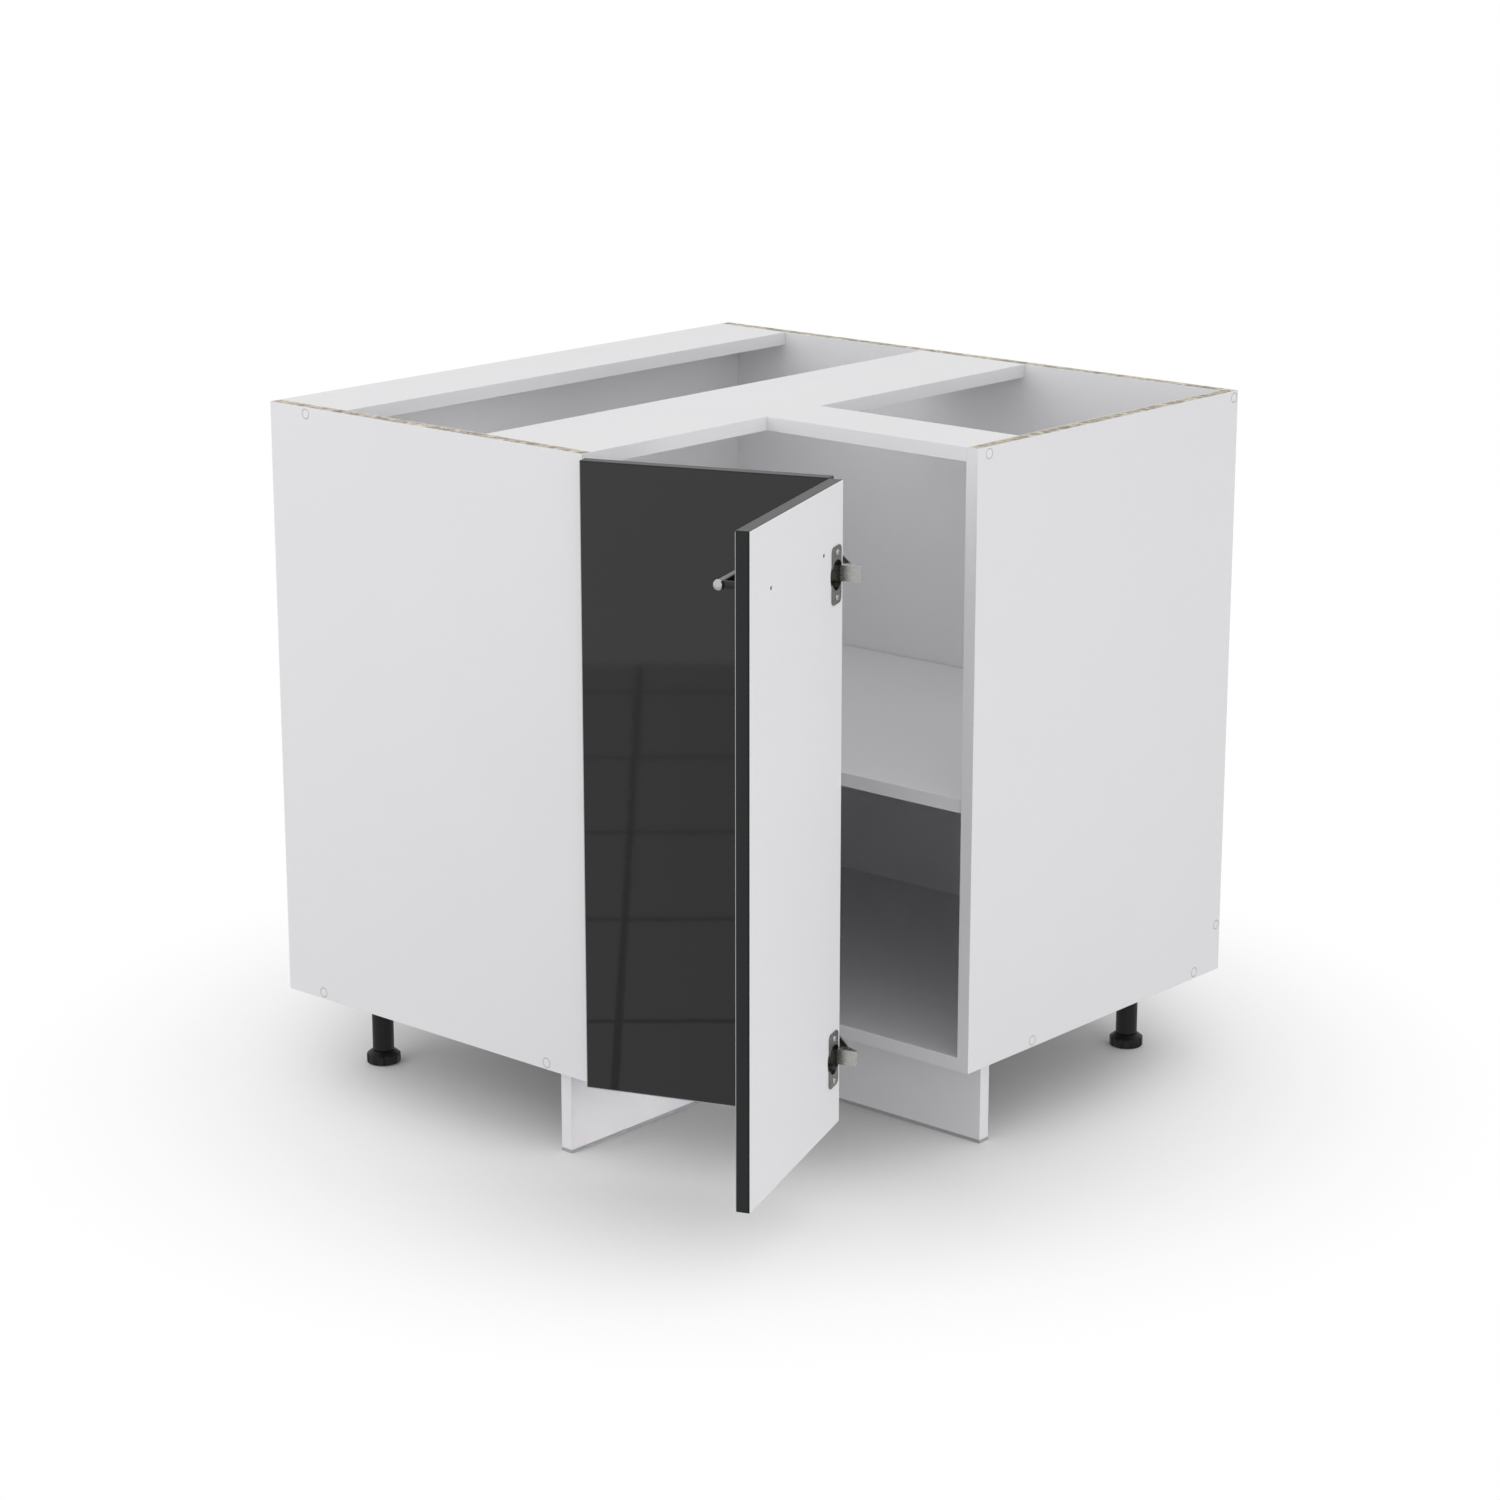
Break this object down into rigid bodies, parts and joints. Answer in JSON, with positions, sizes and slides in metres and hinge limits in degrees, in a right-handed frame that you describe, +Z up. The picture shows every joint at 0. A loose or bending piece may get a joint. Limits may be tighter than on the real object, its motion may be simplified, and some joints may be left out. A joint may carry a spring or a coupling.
{
  "type": "corner base cabinet",
  "caption": "L-shaped corner base cabinet on adjustable legs, with a shelf, an open railed top and a folding pair of glossy door leaves with a bar handle.",
  "frame": {"origin": "centre of the underside of the foot nearest the room corner, on the floor", "axes": "+Z up; the left wall and its wing run along -Y, the rear wall and its wing run along +X, and the inner corner with the doors faces +X and -Y"},
  "size_m": [0.887, 0.9769, 0.816],
  "materials": {
    "white_board": "satin white melamine",
    "grey_board": "satin white melamine",
    "front_board": "high-gloss black face, white back",
    "black_plastic": "matt",
    "white_plastic": "satin",
    "seal": "soft grey",
    "zinc": "zinc plated",
    "nickel": "nickel plated",
    "handle_steel": "fine brushed"
  },
  "bodies": {
    "cabinet": {"left_side_panel": "white_board", "right_side_panel": "white_board", "rear_panel": "grey_board", "back_sheet": "grey_board", "bottom_panel": "white_board", "shelf": "white_board", "back_rail": "white_board", "middle_rail": "white_board", "front_rail": "white_board", "shelf_pins": "zinc", "carcass_screws": "zinc", "screw_caps": "white_plastic", "plinth_left": "white_board", "plinth_right": "white_board", "plinth_seals": "seal", "plinth_clips": "black_plastic", "leg_sockets": "black_plastic", "leg_tubes": "black_plastic", "swing_hinge_plates": "nickel", "swing_hinge_arms": "nickel"},
    "leaf_left": {"door_leaf_left": "front_board", "swing_hinge_cups": "nickel", "swing_cup_screws": "zinc", "fold_hinge_arms": "nickel"},
    "leaf_right": {"door_leaf_right": "front_board", "fold_hinge_cups": "nickel", "fold_hinge_pins": "nickel", "fold_cup_screws": "zinc", "handle_bar": "handle_steel", "handle_posts": "handle_steel", "handle_screws": "zinc"},
    "foot_corner": {"foot_corner": "black_plastic"},
    "foot_left_rear": {"foot_left_rear": "black_plastic"},
    "foot_left_front": {"foot_left_front": "black_plastic"},
    "foot_inner": {"foot_inner": "black_plastic"},
    "foot_right_rear": {"foot_right_rear": "black_plastic"},
    "foot_right_front": {"foot_right_front": "black_plastic"}
  },
  "joints": [
    {"name": "door_swing", "type": "hinge", "parent": "cabinet", "child": "leaf_left", "pos_m": [0.43, -0.73, 0.4565], "axis": [0, 0, -1], "range_deg": [-69, 86]},
    {"name": "door_fold", "type": "hinge", "parent": "leaf_left", "child": "leaf_right", "pos_m": [0.72672, -0.64074, 0.4565], "axis": [0, 0, 1], "range_deg": [0, 60]},
    {"name": "foot_corner_turn", "type": "hinge", "parent": "cabinet", "child": "foot_corner", "pos_m": [0, 0, 0], "axis": [0, 0, 1], "range_deg": [-1080, 1080]},
    {"name": "foot_left_rear_turn", "type": "hinge", "parent": "cabinet", "child": "foot_left_rear", "pos_m": [0, -0.645, 0], "axis": [0, 0, 1], "range_deg": [-1080, 1080]},
    {"name": "foot_left_front_turn", "type": "hinge", "parent": "cabinet", "child": "foot_left_front", "pos_m": [0.344, -0.645, 0], "axis": [0, 0, 1], "range_deg": [-1080, 1080]},
    {"name": "foot_inner_turn", "type": "hinge", "parent": "cabinet", "child": "foot_inner", "pos_m": [0.344, -0.344, 0], "axis": [0, 0, 1], "range_deg": [-1080, 1080]},
    {"name": "foot_right_rear_turn", "type": "hinge", "parent": "cabinet", "child": "foot_right_rear", "pos_m": [0.645, 0, 0], "axis": [0, 0, 1], "range_deg": [-1080, 1080]},
    {"name": "foot_right_front_turn", "type": "hinge", "parent": "cabinet", "child": "foot_right_front", "pos_m": [0.645, -0.344, 0], "axis": [0, 0, 1], "range_deg": [-1080, 1080]}
  ]
}
